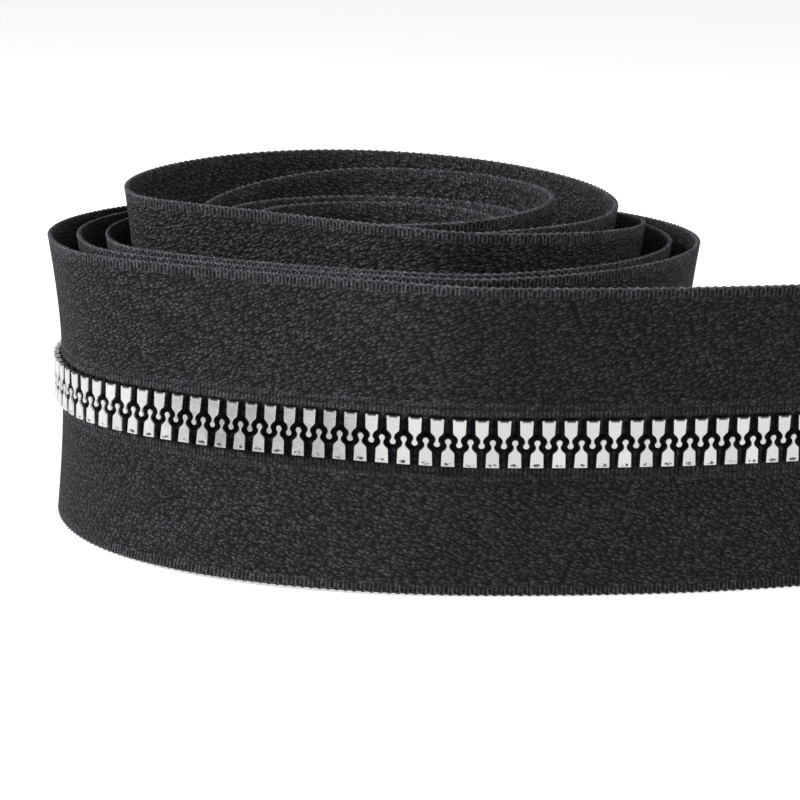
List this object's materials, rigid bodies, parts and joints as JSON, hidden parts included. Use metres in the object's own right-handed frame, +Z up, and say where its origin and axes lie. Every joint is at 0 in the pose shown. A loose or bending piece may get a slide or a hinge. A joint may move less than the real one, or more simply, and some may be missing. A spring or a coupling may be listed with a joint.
{
  "type": "zipper chain roll",
  "caption": "Loose spiral roll of closed zipper chain standing on edge: two woven tapes, two rows of interlocked moulded teeth, and a free end that flexes between its teeth.",
  "frame": {"origin": "on the surface the roll stands on, under the middle of the whole roll's box", "axes": "+Z up, across the chain from the lower tape's edge to the upper tape's edge; +X along the tail, towards its cut end; the tail runs along the -Y side"},
  "size_m": [0.0944, 0.0714, 0.041],
  "materials": {
    "woven_tape": "matt black woven polyester with a low sheen",
    "plated_teeth": "silver metal plating on moulded black resin, softly polished"
  },
  "bodies": {
    "coil": {"upper_tape_coil": "woven_tape", "lower_tape_coil": "woven_tape", "upper_teeth_coil": "plated_teeth", "lower_teeth_coil": "plated_teeth"},
    "link_1": {"upper_tape_1": "woven_tape", "lower_tape_1": "woven_tape", "upper_tooth_1": "plated_teeth", "lower_tooth_1": "plated_teeth", "upper_tooth_2": "plated_teeth", "lower_tooth_2": "plated_teeth"},
    "link_2": {"upper_tape_2": "woven_tape", "lower_tape_2": "woven_tape", "upper_tooth_3": "plated_teeth", "lower_tooth_3": "plated_teeth", "upper_tooth_4": "plated_teeth", "lower_tooth_4": "plated_teeth"},
    "link_3": {"upper_tape_3": "woven_tape", "lower_tape_3": "woven_tape", "upper_tooth_5": "plated_teeth", "lower_tooth_5": "plated_teeth", "upper_tooth_6": "plated_teeth", "lower_tooth_6": "plated_teeth"},
    "link_4": {"upper_tape_4": "woven_tape", "lower_tape_4": "woven_tape", "upper_tooth_7": "plated_teeth", "lower_tooth_7": "plated_teeth", "upper_tooth_8": "plated_teeth", "lower_tooth_8": "plated_teeth"},
    "link_5": {"upper_tape_5": "woven_tape", "lower_tape_5": "woven_tape", "upper_tooth_9": "plated_teeth", "lower_tooth_9": "plated_teeth", "upper_tooth_10": "plated_teeth", "lower_tooth_10": "plated_teeth"},
    "link_6": {"upper_tape_6": "woven_tape", "lower_tape_6": "woven_tape", "upper_tooth_11": "plated_teeth", "lower_tooth_11": "plated_teeth", "upper_tooth_12": "plated_teeth", "lower_tooth_12": "plated_teeth"},
    "link_7": {"upper_tape_7": "woven_tape", "lower_tape_7": "woven_tape", "upper_tooth_13": "plated_teeth", "lower_tooth_13": "plated_teeth", "upper_tooth_14": "plated_teeth", "lower_tooth_14": "plated_teeth"},
    "link_8": {"upper_tape_8": "woven_tape", "lower_tape_8": "woven_tape", "upper_tooth_15": "plated_teeth", "lower_tooth_15": "plated_teeth", "upper_tooth_16": "plated_teeth", "lower_tooth_16": "plated_teeth"}
  },
  "joints": [
    {"name": "chain_flex_1", "type": "hinge", "parent": "coil", "child": "link_1", "pos_m": [0.01, -0.03425, 0.017], "axis": [0, 0, 1], "range_deg": [-18, 8]},
    {"name": "chain_flex_2", "type": "hinge", "parent": "link_1", "child": "link_2", "pos_m": [0.01468, -0.03384, 0.017], "axis": [0, 0, 1], "range_deg": [-18, 8]},
    {"name": "chain_flex_3", "type": "hinge", "parent": "link_2", "child": "link_3", "pos_m": [0.01935, -0.03328, 0.017], "axis": [0, 0, 1], "range_deg": [-18, 8]},
    {"name": "chain_flex_4", "type": "hinge", "parent": "link_3", "child": "link_4", "pos_m": [0.02399, -0.03257, 0.017], "axis": [0, 0, 1], "range_deg": [-18, 8]},
    {"name": "chain_flex_5", "type": "hinge", "parent": "link_4", "child": "link_5", "pos_m": [0.02861, -0.03172, 0.017], "axis": [0, 0, 1], "range_deg": [-18, 8]},
    {"name": "chain_flex_6", "type": "hinge", "parent": "link_5", "child": "link_6", "pos_m": [0.0332, -0.03071, 0.017], "axis": [0, 0, 1], "range_deg": [-18, 8]},
    {"name": "chain_flex_7", "type": "hinge", "parent": "link_6", "child": "link_7", "pos_m": [0.03776, -0.02955, 0.017], "axis": [0, 0, 1], "range_deg": [-18, 8]},
    {"name": "chain_flex_8", "type": "hinge", "parent": "link_7", "child": "link_8", "pos_m": [0.04228, -0.02825, 0.017], "axis": [0, 0, 1], "range_deg": [-18, 8]}
  ]
}
